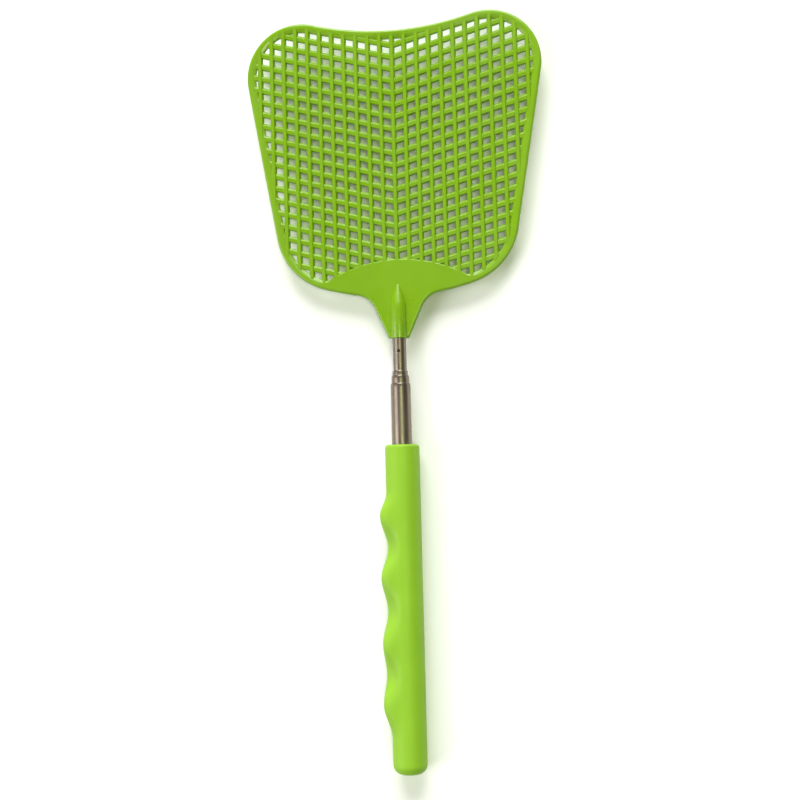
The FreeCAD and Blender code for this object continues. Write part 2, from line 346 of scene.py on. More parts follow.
class Sheet:
    """A node tree with short calls that add and join nodes."""

    def __init__(self, tree: Tree) -> None:
        """Keep the tree to work on."""
        self.tree = tree
        self.column = 0

    def feed(self, target: Socket, value: object) -> None:
        """Give an input what it reads.

        Args:
            target: The input.
            value: An output to link it to, or a constant.
        """
        if isinstance(value, Socket):
            self.tree.links.new(value, target)
        else:
            target.default_value = value

    def add(self, kind: str, inputs: dict | None = None, **settings: object) -> Node:
        """Add a node.

        Args:
            kind: The node's type name.
            inputs: What its inputs read, by name or number.
            **settings: Properties of the node, set first.

        Returns:
            The new node.
        """
        node = self.tree.nodes.new(kind)
        node.location = (self.column * 200, 0)
        self.column += 1
        for name, value in settings.items():
            setattr(node, name, value)
        for name, value in (inputs or {}).items():
            self.feed(node.inputs[name], value)
        return node

    def sum(self, operation: str, first: object, second: object) -> Socket:
        """Work out an operation on two numbers or sockets."""
        return self.add("ShaderNodeMath", {0: first, 1: second}, operation=operation).outputs[0]

    def vector(self, x: object, y: object, z: object) -> Socket:
        """Combine three numbers or sockets into a vector."""
        return self.add("ShaderNodeCombineXYZ", {0: x, 1: y, 2: z}).outputs[0]

    def noise(self, place: Socket, scale: object, detail: float, rough: float = 0.55) -> Socket:
        """Add a noise texture.

        Args:
            place: Its coordinates.
            scale: A number or a socket.
            detail: Octaves.
            rough: Strength of the finer octaves.

        Returns:
            The noise value's socket.
        """
        inputs = {"Vector": place, "Scale": scale, "Detail": detail, "Roughness": rough}
        return self.add("ShaderNodeTexNoise", inputs).outputs["Fac"]

    def ramp(self, source: Socket, low: float, high: float, start: float = 0.0,
             end: float = 1.0) -> Socket:
        """Map a value's range smoothly onto another range, held at both ends.

        Args:
            source: The value's socket.
            low: Value that gives `start`.
            high: Value that gives `end`.
            start: Result at `low`.
            end: Result at `high`.

        Returns:
            The result's socket.
        """
        inputs = {"Value": source, "From Min": low, "From Max": high, "To Min": start,
                  "To Max": end}
        node = self.add("ShaderNodeMapRange", inputs, interpolation_type="SMOOTHSTEP")
        return node.outputs["Result"]

    def blend(self, share: Socket, first: object, second: object) -> Socket:
        """Mix two colours.

        Args:
            share: How much of the second colour.
            first: A colour or a socket.
            second: A colour or a socket.

        Returns:
            The mixed colour's socket.
        """
        node = self.add("ShaderNodeMix", {"Factor": share}, data_type="RGBA")
        ends = [socket for socket in node.inputs if socket.type == "RGBA"]
        for socket, value in zip(ends, (first, second)):
            self.feed(socket, value if isinstance(value, Socket) else (*value, 1.0))
        return next(socket for socket in node.outputs if socket.type == "RGBA")

    def bump(self, height: Socket, strength: float, distance: float) -> Socket:
        """Turn a height into a normal, with the bump's strength and its depth in metres."""
        inputs = {"Height": height, "Strength": strength, "Distance": distance}
        return self.add("ShaderNodeBump", inputs).outputs["Normal"]

    def effect(self, group: Tree, inputs: dict[str, object]) -> bpy.types.NodeOutputs:
        """Place a shared effect and return its outputs."""
        return self.add("ShaderNodeGroup", inputs, node_tree=group).outputs


class Surface(Sheet):
    """A material on Object coordinates."""

    def __init__(self, name: str) -> None:
        """Start the material.

        Args:
            name: Its name.
        """
        self.material = bpy.data.materials.new(name)
        self.material.use_nodes = True
        self.material.node_tree.nodes.clear()
        super().__init__(self.material.node_tree)
        self.place = self.add("ShaderNodeTexCoord").outputs["Object"]

    def shaded(self, inputs: dict[str, object]) -> Material:
        """End in a Principled shader and return the material.

        Args:
            inputs: What the shader's inputs read.

        Returns:
            The material.
        """
        shader = self.add("ShaderNodeBsdfPrincipled", inputs)
        self.add("ShaderNodeOutputMaterial", {"Surface": shader.outputs["BSDF"]})
        return self.material


class Effect(Sheet):
    """A shader node group, with its sockets to build between."""

    def __init__(self, name: str, inputs: dict[str, float], outputs: Sequence[str]) -> None:
        """Start the group.

        Args:
            name: The group's name.
            inputs: Its number inputs and their defaults; it takes a Vector before them.
            outputs: Its outputs, all of them values.
        """
        super().__init__(bpy.data.node_groups.new(name, "ShaderNodeTree"))
        face = self.tree.interface
        face.new_socket(name="Vector", in_out="INPUT", socket_type="NodeSocketVector")
        for label, value in inputs.items():
            face.new_socket(name=label, in_out="INPUT",
                            socket_type="NodeSocketFloat").default_value = value
        for label in outputs:
            face.new_socket(name=label, in_out="OUTPUT", socket_type="NodeSocketFloat")
        self.taken = self.add("NodeGroupInput").outputs
        self.given = self.add("NodeGroupOutput").inputs
        self.place = self.taken["Vector"]

    def give(self, **values: Socket) -> Tree:
        """Feed the group's outputs, and return the finished group.

        Args:
            **values: What each output gives, by name.

        Returns:
            The group.
        """
        for name, value in values.items():
            self.feed(self.given[name], value)
        return self.tree


class SharedEffects:
    """The surface effects that several finishes use, each built once as a node group."""

    def __init__(self) -> None:
        """Build every group."""
        self.moulded_skin = self._moulded_skin()
        self.hand_marks = self._hand_marks()
        self.drawn_lines = self._drawn_lines()
        self.depth_shade = self._depth_shade()

    @staticmethod
    def _moulded_skin() -> Tree:
        """Build the skin of a moulded plastic: a fine grain, soft waves and cloudy colour.

        Returns:
            The group.
        """
        group = Effect("moulded_skin", {"Grain Scale": 2600.0, "Cloud Scale": 70.0},
                       ("Height", "Cloud"))
        grain = group.noise(group.place, group.taken["Grain Scale"], 2.0)
        cloud = group.noise(group.place, group.taken["Cloud Scale"], 3.0)
        waves = group.noise(group.place, 260.0, 1.0)
        fine = group.sum("MULTIPLY", grain, 0.35)
        return group.give(Height=group.sum("ADD", fine, waves),
                          Cloud=group.ramp(cloud, 0.32, 0.68))

    @staticmethod
    def _hand_marks() -> Tree:
        """Build the marks of handling: patches rubbed shinier, and hair-thin scratches.

        Returns:
            The group.
        """
        group = Effect("hand_marks", {"Patch Scale": 45.0, "Scratch Scale": 900.0},
                       ("Rubbed", "Scratch"))
        patch = group.noise(group.place, group.taken["Patch Scale"], 4.0, 0.6)
        stretch = group.add("ShaderNodeMapping", {
            "Vector": group.place, "Rotation": (0.3, 0.2, 0.7), "Scale": (1.0, 0.06, 1.0)})
        lines = group.noise(stretch.outputs["Vector"], group.taken["Scratch Scale"], 2.0)
        thin, gate = group.ramp(lines, 0.66, 0.72), group.ramp(patch, 0.5, 0.6)
        return group.give(Rubbed=group.ramp(patch, 0.42, 0.66),
                          Scratch=group.sum("MULTIPLY", thin, gate))

    @staticmethod
    def _drawn_lines() -> Tree:
        """Build the lines that drawing through a die leaves along a tube or strip.

        Returns:
            The group.
        """
        group = Effect("drawn_lines", {"Line Scale": 3200.0, "Stretch": 0.01}, ("Line",))
        shape = group.vector(1.0, group.taken["Stretch"], 1.0)
        drawn = group.add("ShaderNodeVectorMath", {0: group.place, 1: shape},
                          operation="MULTIPLY").outputs["Vector"]
        return group.give(Line=group.noise(drawn, group.taken["Line Scale"], 3.0, 0.7))

    @staticmethod
    def _depth_shade() -> Tree:
        """Build the mask for painted shade: 0 deep in a piece, where the shade is painted, to 1 at
        its raised front or back.

        Returns:
            The group.
        """
        group = Effect("depth_shade", {"Middle": 0.00635, "Reach": 0.001}, ("Raised",))
        split = group.add("ShaderNodeSeparateXYZ", {0: group.place})
        away = group.sum("SUBTRACT", split.outputs["Z"], group.taken["Middle"])
        share = group.sum("DIVIDE", group.sum("ABSOLUTE", away, 0.0), group.taken["Reach"])
        return group.give(Raised=group.ramp(share, 0.25, 0.95))


@dataclass(frozen=True)
class MouldedPlastic:
    """A satin injection-moulded plastic, with shade painted into its deeper parts."""

    name: str
    colour: Colour
    cloud_colour: Colour
    # Painted shade: the darker colour painted into the deep middle of a piece.
    deep_colour: Colour
    gloss: float
    rubbed_gloss: float
    grain_scale: float
    grain_depth: float
    shine: float
    glow: float
    glow_reach: Colour = (0.55, 1.0, 0.05)

    def build(self, effects: SharedEffects) -> Material:
        """Build the material.

        Args:
            effects: The shared effects.

        Returns:
            The material.
        """
        sheet = Surface(self.name)
        skin = sheet.effect(effects.moulded_skin, {
            "Vector": sheet.place, "Grain Scale": self.grain_scale})
        marks = sheet.effect(effects.hand_marks, {"Vector": sheet.place})
        depth = sheet.effect(effects.depth_shade, {"Vector": sheet.place})
        body = sheet.blend(skin["Cloud"], self.colour, self.cloud_colour)
        # Painted shade: deep parts take the darker shade colour, raised parts keep the body colour.
        recess_shaded = sheet.blend(depth["Raised"], self.deep_colour, body)
        pale = tuple(min(1.0, part * 1.25 + 0.02) for part in self.colour)
        scratched = sheet.sum("MULTIPLY", marks["Scratch"], 0.35)
        return sheet.shaded({
            "Base Color": sheet.blend(scratched, recess_shaded, pale),
            "Roughness": sheet.ramp(marks["Rubbed"], 0.0, 1.0, self.gloss, self.rubbed_gloss),
            "Normal": sheet.bump(skin["Height"], 0.5, self.grain_depth),
            "Specular IOR Level": self.shine,
            "Subsurface Weight": self.glow,
            "Subsurface Radius": self.glow_reach,
            "Subsurface Scale": 0.002})


@dataclass(frozen=True)
class DrawnMetal:
    """A metal drawn through a die, with fine lines along the tube axis."""

    name: str
    colour: Colour
    line_colour: Colour
    roughness: float
    line_roughness: float
    line_scale: float
    stretch: float

    def build(self, effects: SharedEffects) -> Material:
        """Build the material.

        Args:
            effects: The shared effects.

        Returns:
            The material.
        """
        sheet = Surface(self.name)
        lines = sheet.effect(effects.drawn_lines, {
            "Vector": sheet.place, "Line Scale": self.line_scale, "Stretch": self.stretch})
        marks = sheet.effect(effects.hand_marks, {"Vector": sheet.place, "Patch Scale": 160.0})
        tone = sheet.ramp(lines["Line"], 0.3, 0.7)
        body = sheet.blend(tone, self.colour, self.line_colour)
        darker = tuple(part * 0.8 for part in self.colour)
        hazed = sheet.sum("MULTIPLY", marks["Rubbed"], 0.35)
        rough = sheet.ramp(lines["Line"], 0.3, 0.7, self.roughness, self.line_roughness)
        haze = sheet.sum("MULTIPLY", marks["Rubbed"], 0.06)
        return sheet.shaded({
            "Base Color": sheet.blend(hazed, body, darker),
            "Roughness": sheet.sum("ADD", rough, haze),
            "Normal": sheet.bump(lines["Line"], 0.35, 0.00002),
            "Metallic": 1.0})


# The third colour of each plastic is the painted shade for its deeper parts; the grip's equals its
# own colour.
HEAD_GREEN = MouldedPlastic(
    "head_green_plastic", (0.178, 0.345, 0.001), (0.170, 0.330, 0.001), (0.166, 0.322, 0.001),
    gloss=0.34, rubbed_gloss=0.27, grain_scale=3200.0, grain_depth=0.000025, shine=0.5, glow=0.25)
GRIP_GREEN = MouldedPlastic(
    "grip_green_plastic", (0.240, 0.465, 0.016), (0.230, 0.446, 0.015), (0.240, 0.465, 0.016),
    gloss=0.56, rubbed_gloss=0.46, grain_scale=2600.0, grain_depth=0.00004, shine=0.35, glow=0.0)
TUBE_STEEL = DrawnMetal(
    "drawn_tube_steel", (0.270, 0.222, 0.175), (0.215, 0.176, 0.140), 0.30, 0.40, 3200.0, 0.01)
LEAF_BRONZE = DrawnMetal(
    "leaf_spring_bronze", (0.56, 0.36, 0.15), (0.48, 0.30, 0.12), 0.30, 0.42, 2600.0, 0.03)


# --- the grip ---


@dataclass
class Grip:
    """The one-piece grip, a round closed-ended body with finger humps down its left side."""

    finish: Material
    tail_radius: float = 6.24
    mouth_radius: float = 6.345
    tail_rounding: float = 3.5
    tail_steps: int = 10
    mouth_rounding: float = 1.0
    mouth_steps: int = 6
    floor: float = 4.0
    bore_radius: float = 3.72
    lead_in_radius: float = 4.15
    lead_in_depth: float = 0.7
    lead_in_break: Point = (0.08, 0.1)
    first_swell: float = 12.9
    last_swell: float = 102.0
    crests: tuple[Point, ...] = ((24.9, 9.2), (46.7, 8.95), (70.7, 8.95), (93.4, 8.95))
    valleys: tuple[Point, ...] = ((35.8, 7.7), (58.7, 6.7), (81.9, 6.15))
    cheek: float = 0.16
    around: int = 112
    pitch: float = 0.75
    crease: float = 38.0

    def build(self) -> Piece:
        """Build the grip over its CAD node.

        Returns:
            The finished piece.
        """
        start, end = span_of("grip")
        length = end - start
        barrel = length - self.tail_rounding - self.mouth_rounding
        steps = round(barrel / self.pitch)
        tail = reversed(rounding(self.tail_rounding, self.tail_steps))
        rings = [self._ring(start, depth, inset) for inset, depth in tail]
        rings += [self._ring(start, self.tail_rounding + step / steps * barrel, 0.0)
                  for step in range(1, steps)]
        rings += [self._ring(start, length - depth, inset)
                  for inset, depth in rounding(self.mouth_rounding, self.mouth_steps)]
        middle = axis_height()
        for radius, along in (
                (self.lead_in_radius, length),
                (self.lead_in_radius - self.lead_in_break[0], length - self.lead_in_break[1]),
                (self.bore_radius, length - self.lead_in_depth),
                (self.bore_radius, self.floor)):
            rings.append([(across, start + along, middle + up)
                          for across, up in circle(radius, self.around)])
        piece = loft("grip_body", rings)
        smooth_but_for_edges(piece, self.crease)
        dress(piece, self.finish, Body.HANDLE, "grip")
        return piece

    def _radius(self, along: float) -> float:
        """Return the round body's radius at a height above the closed end."""
        share = min(1.0, along / self.last_swell)
        return self.tail_radius + (self.mouth_radius - self.tail_radius) * share

    def _reach(self, along: float) -> float:
        """Return how far the finger side stands from the axis at a height.

        Args:
            along: The height above the closed end.

        Returns:
            The reach, a smooth wave through the crests and valleys.
        """
        if not self.first_swell < along < self.last_swell:
            return self._radius(along)
        ends = [(place, self._radius(place)) for place in (self.first_swell, self.last_swell)]
        return wave(sorted((*self.crests, *self.valleys, *ends)), along)

    def _swell(self, along: float) -> float:
        """Return how far a height is towards a crest: 1 on one, -1 in a valley, 0 off the humps.

        Args:
            along: The height above the closed end.

        Returns:
            The share.
        """
        knots = [(self.first_swell, 0.0), (self.last_swell, 0.0)]
        knots += [(place, 1.0) for place, _ in self.crests]
        knots += [(place, -1.0) for place, _ in self.valleys]
        return wave(sorted(knots), along)

    def _ring(self, start: float, along: float, inset: float) -> list[Spot]:
        """Return one ring of the outside, half round and half drawn out towards the fingers.

        Args:
            start: Place of the closed end along Y.
            along: Height of the ring above it.
            inset: How far the ring is pulled in by an edge's rounding.

        Returns:
            The ring's points.
        """
        radius, reach = self._radius(along) - inset, self._reach(along) - inset
        middle, swell = axis_height(), self._swell(along)
        ring = []
        for across, up in circle(1.0, self.around):
            full = 1.0 + self.cheek * swell * (2 * across * up) ** 4 if across < 0 else 1.0
            ring.append((across * full * (radius if across > 0 else reach), start + along,
                         middle + radius * full * up))
        return ring


# --- the tubes ---


@dataclass
class Tube:
    """One telescopic tube: a grooved foot that carries the leaves, and a rolled-in mouth."""

    name: str
    node: str
    body: Body
    radius: float
    wall: float = 0.25
    host_radius: float = 0.0
    guest_radius: float = 0.0
    running_gap: float = 0.05
    mouth_length: float = 1.6
    mouth_land: float = 0.6
    mouth_steps: int = 8
    lip: float = 0.12
    foot_lip: float = 1.0
    leaf_seat: float = 5.0
    shoulder: float = 1.0
    leaf_room: float = 0.23
    outer_break: Point = (0.08, 0.1)
    inner_break: Point = (0.04, 0.06)
    pierced: bool = False
    hole_radius: float = 0.5
    hole_below: float = 4.9
    hole_chamfer: Point = (0.55, 0.3)
    hole_land: float = 0.2
    hole_sides: int = 28
    around: int = 96
    crease: float = 32.0

    def build(self, finish: Material) -> Piece:
        """Build the tube over its CAD node.

        Args:
            finish: The tube's material.

        Returns:
            The finished piece.
        """
        start, end = span_of(self.node)
        section = self._outside(start, end) + self._inside(start, end)
        piece = turned(self.name, section, self.around, closed=True)
        if self.pierced:
            self._pierce(piece)
            face_outwards(piece, merge=0.0005)
        smooth_but_for_edges(piece, self.crease)
        dress(piece, finish, self.body, self.node)
        return piece

    def _groove(self) -> float:
        """Return the radius of the groove under the leaves."""
        return self.host_radius - self.wall - self.leaf_room

    def _outside(self, start: float, end: float) -> list[Point]:
        """Return the section's outside corners.

        Args:
            start: The tube's foot along Y.
            end: Its mouth along Y.

        Returns:
            The corners going up.
        """
        cut, run = self.outer_break
        corners: list[Point] = [(self.radius, start)]
        if self.host_radius:
            lip, groove = self.host_radius - self.wall - self.running_gap, self._groove()
            seat = start + self.foot_lip
            corners = [(lip - cut, start), (lip, start + run), (lip, seat - run),
                       (lip - cut, seat), (groove, seat), (groove, seat + self.leaf_seat),
                       (self.radius, seat + self.leaf_seat + self.shoulder)]
        if not self.guest_radius:
            return corners + [(self.radius, end - run), (self.radius - cut, end)]
        rim = self.guest_radius + self.running_gap + self.lip
        return corners + [(self.radius - (self.radius - rim) * inset,
                           end - self.mouth_length * depth)
                          for inset, depth in rounding(1.0, self.mouth_steps)]

    def _inside(self, start: float, end: float) -> list[Point]:
        """Return the section's inside corners.

        Args:
            start: The tube's foot along Y.
            end: Its mouth along Y.

        Returns:
            The corners going down.
        """
        bore = self.radius - self.wall
        hole = self.guest_radius + self.running_gap if self.guest_radius else bore
        cut, run = self.inner_break
        corners = [(hole + cut, end), (hole, end - run)]
        if self.guest_radius:
            corners += [(hole, end - self.mouth_land), (bore, end - self.mouth_length)]
        if not self.host_radius:
            return corners + [(bore, start)]
        seat, necked = start + self.foot_lip + self.leaf_seat, self._groove() - self.wall
        return corners + [(bore, seat + self.shoulder), (necked, seat), (necked, start)]

    def _pierce(self, piece: Piece) -> None:
        """Punch the small hole through the front of the tube.

        Args:
            piece: The tube.
        """
        along = span_of("swatter_head")[0] - self.hole_below
        middle, (wider, higher) = axis_height(), self.hole_chamfer
        levels = ((self.hole_radius, middle),
                  (self.hole_radius, middle + self.radius - self.hole_land),
                  (self.hole_radius + wider, middle + self.radius + higher))
        punch = loft("punch", [[(across, along + up, height)
                                for across, up in circle(reach, self.hole_sides)]
                               for reach, height in levels])
        combine(piece, punch, Join.CUT)


# --- the head ---


@dataclass(frozen=True)
class Bend:
    """One stretch of the head's outline: an arc, or a straight line when its radius is zero."""

    centre: Vector
    radius: float
    start: Vector
    end: Vector

    def points(self, steps: int) -> list[Vector]:
        """Return points along the stretch, its end left out.

        Args:
            steps: How many points.

        Returns:
            The points.
        """
        if self.radius == 0:
            return [self.start.lerp(self.end, step / steps) for step in range(steps)]
        first, last = self.start - self.centre, self.end - self.centre
        sweep = math.atan2(first.x * last.y - first.y * last.x, first.dot(last))
        turned_to = []
        for step in range(steps):
            turn = sweep * step / steps
            cos, sin = math.cos(turn), math.sin(turn)
            turned_to.append(self.centre + Vector((first.x * cos - first.y * sin,
                                                   first.x * sin + first.y * cos)))
        return turned_to


def straight(start: Vector, end: Vector) -> Bend:
    """Return a straight stretch."""
    return Bend(Vector((0, 0)), 0, start, end)


def along_all(stretches: Sequence[Bend], counts: Sequence[int]) -> list[Vector]:
    """Return the points of stretches one after the other, each with its own count."""
    return [spot for stretch, count in zip(stretches, counts) for spot in stretch.points(count)]


def slid(start: Vector, along: Vector, centre: Vector, reach: float, way: int) -> Vector:
    """Slide a point along a line until it is a given distance from a centre.

    Args:
        start: The point.
        along: The line's direction.
        centre: What the distance is measured from.
        reach: The distance.
        way: 1 for the far one of the two places, -1 for the near one.

    Returns:
        The place.
    """
    gap = start - centre
    half, slack = gap.dot(along), gap.dot(gap) - reach ** 2
    return start + along * (-half + way * math.sqrt(half ** 2 - slack))


@dataclass
class Blade:
    """The outline of the head, in millimetres from the socket's end on the centre line."""

    height: float = 122.08
    lobe_offset: float = 35.7
    lobe_radius: float = 20.3
    dip_radius: float = 109.5
    side_taper: float = 9.8
    corner_radius: float = 24.7
    base_height: float = 15.6
    base_radius: float = 98.0
    neck_end: float = 3.75
    neck_lean: float = 23.7
    neck_fillet: float = 9.0
    end_rounding: float = 0.8
    rim: float = 3.3
    fan_top: float = 29.7
    fan_radius: float = 52.5
    upper_counts: tuple[int, ...] = (26, 16, 20, 26)
    lower_counts: tuple[int, ...] = (26, 14, 10, 10, 5, 4)
    walk_count: int = 240
    low_count: int = 26
    fan_count: int = 22

    def __post_init__(self) -> None:
        """Work out the centres that the arcs turn about."""
        self.lobe = Vector((self.lobe_offset, self.height - self.lobe_radius))
        reach = self.dip_radius + self.lobe_radius
        self.dip = Vector((0, self.lobe.y + math.sqrt(reach ** 2 - self.lobe.x ** 2)))
        lean = math.radians(self.side_taper)
        self.outward = Vector((math.cos(lean), -math.sin(lean)))
        down = Vector((-math.sin(lean), -math.cos(lean)))
        self.base = Vector((0, self.base_height + self.base_radius))
        self.corner = slid(self.lobe + self.outward * (self.lobe_radius - self.corner_radius),
                           down, self.base, self.base_radius - self.corner_radius, 1)
        self.fan = Vector((0, self.fan_top - self.fan_radius))
        lean = math.radians(self.neck_lean)
        along = Vector((math.sin(lean), math.cos(lean)))
        self.off_neck = Vector((math.cos(lean), -math.sin(lean)))
        self.root = slid(Vector((self.neck_end, 0)) + self.off_neck * self.neck_fillet, along,
                         self.base, self.base_radius + self.neck_fillet, -1)
        edge = self.neck_end + self.end_rounding * (math.sin(lean) - 1) / math.cos(lean)
        self.foot = Vector((edge, self.end_rounding))

    def _upper(self, inset: float) -> list[Bend]:
        """Return the right half's stretches from the top of the centre line to the side's foot.

        Args:
            inset: How far inside the outline they run.

        Returns:
            The dip, the lobe and the straight side.
        """
        dip, lobe = self.dip_radius + inset, self.lobe_radius - inset
        meet = self.dip + (self.lobe - self.dip).normalized() * dip
        crown = self.lobe + Vector((0.6, 0.8)) * lobe
        side_top = self.lobe + self.outward * lobe
        return [Bend(self.dip, dip, self.dip - Vector((0, dip)), meet),
                Bend(self.lobe, lobe, meet, crown),
                Bend(self.lobe, lobe, crown, side_top),
                straight(side_top, self._turn(inset).start)]

    def _turn(self, inset: float) -> Bend:
        """Return the lower corner's arc, from the straight side to the base.

        Args:
            inset: How far inside the outline it runs.

        Returns:
            The arc.
        """
        radius, to_corner = self.corner_radius - inset, (self.corner - self.base).normalized()
        return Bend(self.corner, radius, self.corner + self.outward * radius,
                    self.base + to_corner * (self.base_radius - inset))

    def outline(self, inset: float) -> list[Vector]:
        """Return the whole outline, pulled in by an inset, as one closed loop.

        Args:
            inset: How far inside the outline it runs.

        Returns:
            The loop's points, as many for every inset.
        """
        base, turn = self.base_radius - inset, self._turn(inset)
        base_end = self.base + (self.root - self.base).normalized() * base
        neck_top = self.root + -self.off_neck * (self.neck_fillet + inset)
        neck_foot = self.foot + self.off_neck * (self.end_rounding - inset)
        flat_end = self.foot - Vector((0, self.end_rounding - inset))
        tip = Vector((0, inset))
        lower = [turn, Bend(self.base, base, turn.end, base_end),
                 Bend(self.root, self.neck_fillet + inset, base_end, neck_top),
                 straight(neck_top, neck_foot),
                 Bend(self.foot, self.end_rounding - inset, neck_foot, flat_end),
                 straight(flat_end, tip)]
        half = along_all(self._upper(inset) + lower, self.upper_counts + self.lower_counts)
        return self._both_sides(half + [tip])

    def window(self, grow: float) -> list[Vector]:
        """Return the mesh window's edge, let out into the rim and fan plate, as one closed loop.

        Args:
            grow: How far it is let out.

        Returns:
            The loop's points, as many for every value.
        """
        inset, radius = self.rim - grow, self.fan_radius - grow
        base, turn = self.base_radius - inset, self._turn(inset)
        flat = Bend(self.base, base, turn.end, self.base - Vector((0, base)))
        walk = along_all((turn, flat), (self.walk_count, self.walk_count))
        past = [(spot - self.fan).length - radius for spot in walk]
        last = next(number for number, away in enumerate(past) if away < 0)
        share = past[last - 1] / (past[last - 1] - past[last])
        low = []
        for step in range(self.low_count):
            at = (last - 1 + share) * step / self.low_count
            low.append(walk[int(at)].lerp(walk[int(at) + 1], at - int(at)))
        meet = walk[last - 1].lerp(walk[last], share)
        crown = Vector((0, self.fan.y + radius))
        fan = Bend(self.fan, radius, meet, crown).points(self.fan_count)
        half = along_all(self._upper(inset), self.upper_counts)
        return self._both_sides(half + low + fan + [crown])

    @staticmethod
    def _both_sides(half: list[Vector]) -> list[Vector]:
        """Close a right half, whose ends lie on the centre line, with its mirror image."""
        return half + [Vector((-spot.x, spot.y)) for spot in reversed(half[1:-1])]


class RibTree(Sheet):
    """A geometry node tree that lays out the mesh's ribs in one direction."""

    SIZES = ("Pitch", "Count", "Length", "Width", "Front", "Back", "Rounding", "Rise", "Lean",
             "Bevel Run", "Bevel Drop", "Side Run", "Side Drop", "Middle", "Start")
    PLAIN = ("Count", "Rise")

    def __init__(self, name: str, chevron: bool) -> None:
        """Build the tree.

        Args:
            name: The tree's name.
            chevron: True for bent cross ribs, False for upright ones.
        """
        super().__init__(bpy.data.node_groups.new(name, "GeometryNodeTree"))
        face = self.tree.interface
        face.new_socket(name="Geometry", in_out="INPUT", socket_type="NodeSocketGeometry")
        for label in self.SIZES:
            kind = "NodeSocketInt" if label == "Count" else "NodeSocketFloat"
            face.new_socket(name=label, in_out="INPUT", socket_type=kind)
        face.new_socket(name="Finish", in_out="INPUT", socket_type="NodeSocketMaterial")
        face.new_socket(name="Geometry", in_out="OUTPUT", socket_type="NodeSocketGeometry")
        self.taken = self.add("NodeGroupInput").outputs
        self._spread(*(self._chevrons() if chevron else self._uprights()))

    def _profile(self) -> Socket:
        """Build a rib's section: a flat back, and a front that is bevelled on both sides.

        The section is drawn with its front down and its bevelled side to the left, which is how
        a level path carries it: front up, and the bevel towards the lobes.

        Returns:
            The section curve's socket.
        """
        size = self.taken
        right, left = (self.sum("MULTIPLY", size["Width"], side) for side in (0.5, -0.5))
        front = self.sum("MULTIPLY", size["Front"], -1.0)
        low_front = self.sum("ADD", front, size["Lean"])
        corners = (
            (right, size["Back"]), (left, size["Back"]),
            (left, self.sum("ADD", front, size["Bevel Drop"])),
            (self.sum("ADD", left, size["Bevel Run"]), front),
            (self.sum("SUBTRACT", right, size["Side Run"]), low_front),
            (right, self.sum("ADD", low_front, size["Side Drop"])))
        pick = self.add("GeometryNodeIndexSwitch", data_type="VECTOR")
        for _ in corners[len(pick.index_switch_items):]:
            pick.index_switch_items.new()
        self.feed(pick.inputs["Index"], self.add("GeometryNodeInputIndex").outputs[0])
        for number, corner in enumerate(corners):
            self.feed(pick.inputs[str(number)], self.vector(*corner, 0.0))
        blank = self.add("GeometryNodeCurvePrimitiveCircle", {"Resolution": len(corners)})
        drawn = self.add("GeometryNodeSetPosition", {
            "Geometry": blank.outputs["Curve"], "Position": pick.outputs[0]})
        rounded = self.add("GeometryNodeFilletCurve", {
            "Curve": drawn.outputs["Geometry"], "Radius": size["Rounding"], "Count": 1,
            "Limit Radius": True}, mode="POLY")
        return rounded.outputs["Curve"]

    def _chevrons(self) -> tuple[Socket, Socket, Socket]:
        """Lay out bent cross ribs from the top down.

        Returns:
            One rib's path, the step from rib to rib and the first rib's place.
        """
        size = self.taken
        ends = [self.sum("MULTIPLY", size["Length"], side) for side in (-0.5, 0.5)]
        line = self.add("GeometryNodeCurvePrimitiveLine", {
            "Start": self.vector(ends[0], 0.0, 0.0), "End": self.vector(ends[1], 0.0, 0.0)})
        knots = self.add("GeometryNodeResampleCurve", {
            "Curve": line.outputs["Curve"], "Count": 3})
        place = self.add("ShaderNodeSeparateXYZ", {
            0: self.add("GeometryNodeInputPosition").outputs[0]})
        away = self.sum("ABSOLUTE", place.outputs["X"], 0.0)
        bent = self.add("GeometryNodeSetPosition", {
            "Geometry": knots.outputs["Curve"],
            "Offset": self.vector(0.0, self.sum("MULTIPLY", away, size["Rise"]), 0.0)})
        step = self.vector(0.0, self.sum("MULTIPLY", size["Pitch"], -1.0), 0.0)
        return bent.outputs["Geometry"], step, self.vector(0.0, size["Start"], size["Middle"])

    def _uprights(self) -> tuple[Socket, Socket, Socket]:
        """Lay out upright ribs from side to side, as many on each side of the centre line.

        Returns:
            One rib's path, the step from rib to rib and the first rib's place.
        """
        size = self.taken
        line = self.add("GeometryNodeCurvePrimitiveLine", {
            "Start": self.vector(0.0, 0.0, 0.0), "End": self.vector(0.0, size["Length"], 0.0)})
        gaps = self.sum("SUBTRACT", size["Count"], 1.0)
        first = self.sum("MULTIPLY", self.sum("MULTIPLY", gaps, -0.5), size["Pitch"])
        step = self.vector(size["Pitch"], 0.0, 0.0)
        return line.outputs["Curve"], step, self.vector(first, size["Start"], size["Middle"])

    def _spread(self, path: Socket, step: Socket, first: Socket) -> None:
        """Repeat the rib, make the copies real and give them their finish.

        Args:
            path: One rib's path.
            step: The step from rib to rib.
            first: The first rib's place.
        """
        row = self.add("GeometryNodeMeshLine", {
            "Count": self.taken["Count"], "Offset": step, "Start Location": first})
        level = self.add("GeometryNodeSetCurveNormal", {"Curve": path}, mode="Z_UP")
        bar = self.add("GeometryNodeCurveToMesh", {
            "Curve": level.outputs["Curve"], "Profile Curve": self._profile(),
            "Fill Caps": True})
        spread = self.add("GeometryNodeInstanceOnPoints", {
            "Points": row.outputs["Mesh"], "Instance": bar.outputs["Mesh"]})
        real = self.add("GeometryNodeRealizeInstances", {
            "Geometry": spread.outputs["Instances"]})
        dressed = self.add("GeometryNodeSetMaterial", {
            "Geometry": real.outputs["Geometry"], "Material": self.taken["Finish"]})
        self.add("NodeGroupOutput", {"Geometry": dressed.outputs["Geometry"]})

